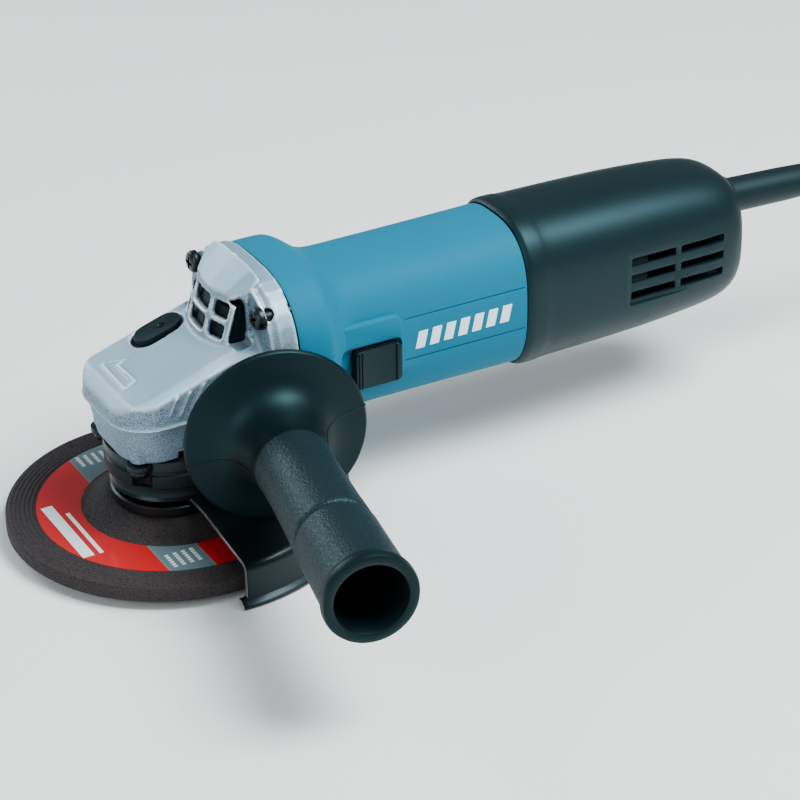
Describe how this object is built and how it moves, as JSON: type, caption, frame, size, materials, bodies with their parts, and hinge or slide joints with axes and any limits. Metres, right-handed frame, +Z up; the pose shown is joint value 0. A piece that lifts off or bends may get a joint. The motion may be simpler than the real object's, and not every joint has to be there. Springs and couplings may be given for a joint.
{
  "type": "angle grinder",
  "caption": "Corded angle grinder: cast gear head with a guarded depressed-centre wheel and spindle lock, motor body with slide switch, screw-in side handle, coiled cord and plug.",
  "frame": {"origin": "centre of the spindle's nose end face", "axes": "+Z up the spindle towards the gear head, +X back along the motor towards the cord, side handle towards -Y"},
  "size_m": [0.576, 0.2345, 0.1055],
  "materials": {
    "aluminium": "satin die casting",
    "teal_plastic": "satin moulded",
    "black_plastic": "satin moulded",
    "grip_plastic": "leather-grained",
    "black_steel": "gloss black",
    "steel": "machined",
    "brass": "plain",
    "copper": "enamelled copper",
    "carbon": "pressed carbon",
    "abrasive": "bonded grit",
    "rubber": "matt"
  },
  "bodies": {
    "tool": {"bearing_box": "black_steel", "bearing_box_screw_1": "steel", "bearing_box_screw_2": "steel", "bearing_box_screw_3": "steel", "bearing_box_screw_4": "steel", "bearing_retainer": "steel", "brush_holder_left": "brass", "brush_holder_right": "brass", "carbon_brush_left": "carbon", "carbon_brush_right": "carbon", "cord_coil": "rubber", "cord_guard": "rubber", "cord_tail": "rubber", "fan_baffle": "black_plastic", "field_coil_lower": "copper", "field_coil_upper": "copper", "front_bearing_outer_ring": "steel", "gear_housing": "aluminium", "housing_screw_1": "black_steel", "housing_screw_2": "black_steel", "housing_screw_3": "black_steel", "housing_screw_4": "black_steel", "motor_housing": "teal_plastic", "plug_body": "rubber", "plug_pin_left": "steel", "plug_pin_right": "steel", "rear_bearing_outer_ring": "steel", "rear_cover": "black_plastic", "rear_cover_screw": "steel", "side_handle_grip": "grip_plastic", "side_handle_stud": "steel", "spindle_bearing_outer_ring": "steel", "stator_core": "steel", "supply_cord": "rubber", "switch_block": "black_plastic", "top_needle_bearing": "steel"},
    "spindle_assembly": {"spindle": "steel", "spindle_bearing_inner_ring": "steel", "bevel_gear": "steel", "inner_flange": "black_steel", "grinding_wheel": "abrasive", "lock_nut": "steel"},
    "armature": {"armature_shaft": "steel", "bevel_pinion": "steel", "pinion_nut": "steel", "front_bearing_inner_ring": "steel", "rear_bearing_inner_ring": "steel", "cooling_fan": "steel", "armature_core": "steel", "armature_winding_front": "copper", "armature_winding_rear": "copper", "commutator": "copper"},
    "guard": {"wheel_guard": "black_steel", "guard_clamp_screw": "steel", "guard_clamp_nut": "steel"},
    "shaft_lock": {"shaft_lock_button": "black_plastic", "shaft_lock_pin": "steel"},
    "switch_slide": {"switch_knob": "black_plastic", "switch_rod": "steel"}
  },
  "joints": [
    {"name": "spindle_spin", "type": "hinge", "parent": "tool", "child": "spindle_assembly", "pos_m": [0, 0, 0], "axis": [0, 0, 1], "continuous": true},
    {"name": "armature_spin", "type": "hinge", "parent": "tool", "child": "armature", "pos_m": [0, 0, 0.0605], "axis": [1, 0, 0], "continuous": true},
    {"name": "guard_turn", "type": "hinge", "parent": "tool", "child": "guard", "pos_m": [0, 0, 0], "axis": [0, 0, 1], "range_deg": [-90, 90]},
    {"name": "shaft_lock_press", "type": "slide", "parent": "tool", "child": "shaft_lock", "axis": [0, 0, -1], "range_m": [0, 0.003], "stiffness_N_per_m": 600},
    {"name": "switch_slide", "type": "slide", "parent": "tool", "child": "switch_slide", "axis": [-1, 0, 0], "range_m": [0, 0.006]}
  ],
  "couplings": [
    {"joint": "armature_spin", "follows": "spindle_spin", "ratio": 3.0833}
  ]
}
